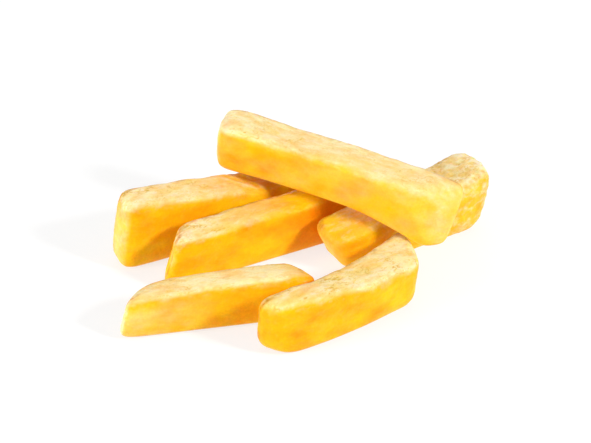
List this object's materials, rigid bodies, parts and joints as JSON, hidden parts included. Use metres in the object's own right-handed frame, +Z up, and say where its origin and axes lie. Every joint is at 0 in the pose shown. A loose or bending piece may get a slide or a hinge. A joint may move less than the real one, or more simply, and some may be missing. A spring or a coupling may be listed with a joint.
{
  "type": "heap of thick-cut french fries",
  "caption": "Loose heap of thick-cut french fries lying flat, with the longest one laid across the others.",
  "frame": {"origin": "bottom centre of the heap, on the surface it lies on", "axes": "+X along the heap's width, to the right as it is seen from the front; +Y to the back; +Z up"},
  "size_m": [0.127, 0.1, 0.0371],
  "materials": {
    "chip_back_left": "crisp fried surface with a slight oily gloss",
    "chip_middle_left": "crisp fried surface with a slight oily gloss",
    "chip_front_left": "crisp fried surface with a slight oily gloss",
    "chip_front_right": "crisp fried surface with a slight oily gloss",
    "chip_right": "rough, pocked and browner than the others",
    "chip_top": "crisp fried surface with a slight oily gloss"
  },
  "bodies": {
    "root": {"chip_back_left": "chip_back_left", "chip_middle_left": "chip_middle_left", "chip_front_left": "chip_front_left", "chip_front_right": "chip_front_right", "chip_right": "chip_right", "chip_top": "chip_top"}
  },
  "joints": []
}
